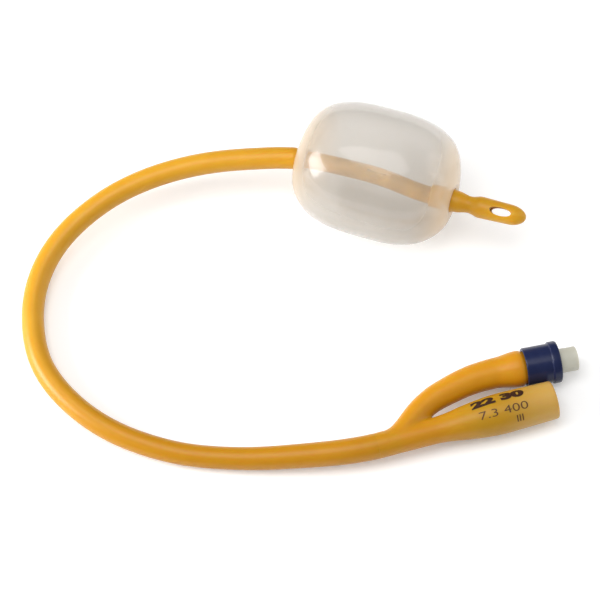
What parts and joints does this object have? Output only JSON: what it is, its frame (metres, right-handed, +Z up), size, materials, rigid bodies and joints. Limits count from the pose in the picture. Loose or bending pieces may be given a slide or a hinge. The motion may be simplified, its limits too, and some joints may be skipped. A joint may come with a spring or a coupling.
{
  "type": "foley urinary catheter",
  "caption": "Flexible urinary catheter with an inflated retention balloon near its rounded tip, a drainage funnel and a side arm with a sprung inflation valve.",
  "frame": {"origin": "on the table that the catheter lies on, under the middle of its bounding box", "axes": "+X about along the drainage funnel towards its mouth, +Z up, +Y across the loop towards the balloon"},
  "size_m": [0.1726, 0.1222, 0.0441],
  "materials": {
    "latex_tube": "satin amber latex, dip coated",
    "latex_moulding": "satin amber latex",
    "balloon_latex": "glossy, see-through, stretched thin",
    "latex_funnel": "satin amber latex",
    "navy_plastic": "glossy navy moulding",
    "ivory_plastic": "satin ivory moulding",
    "natural_plastic": "natural moulding",
    "white_plastic": "smooth white moulding",
    "black_rubber": "matt",
    "spring_steel": "drawn wire"
  },
  "bodies": {
    "catheter": {"shaft": "latex_tube", "tip": "latex_moulding", "balloon": "balloon_latex", "y_funnel": "latex_funnel", "valve_collar": "navy_plastic", "valve_body": "ivory_plastic", "valve_tail": "natural_plastic", "valve_spring": "spring_steel"},
    "stem": {"valve_stem": "white_plastic", "stem_seal": "black_rubber"}
  },
  "joints": [
    {"name": "stem_slide", "type": "slide", "parent": "catheter", "child": "stem", "axis": [-0.9981, 0.061, 0], "range_m": [0, 0.0015], "stiffness_N_per_m": 300, "springref_m": -0.002, "deforming": ["valve_spring"]}
  ]
}
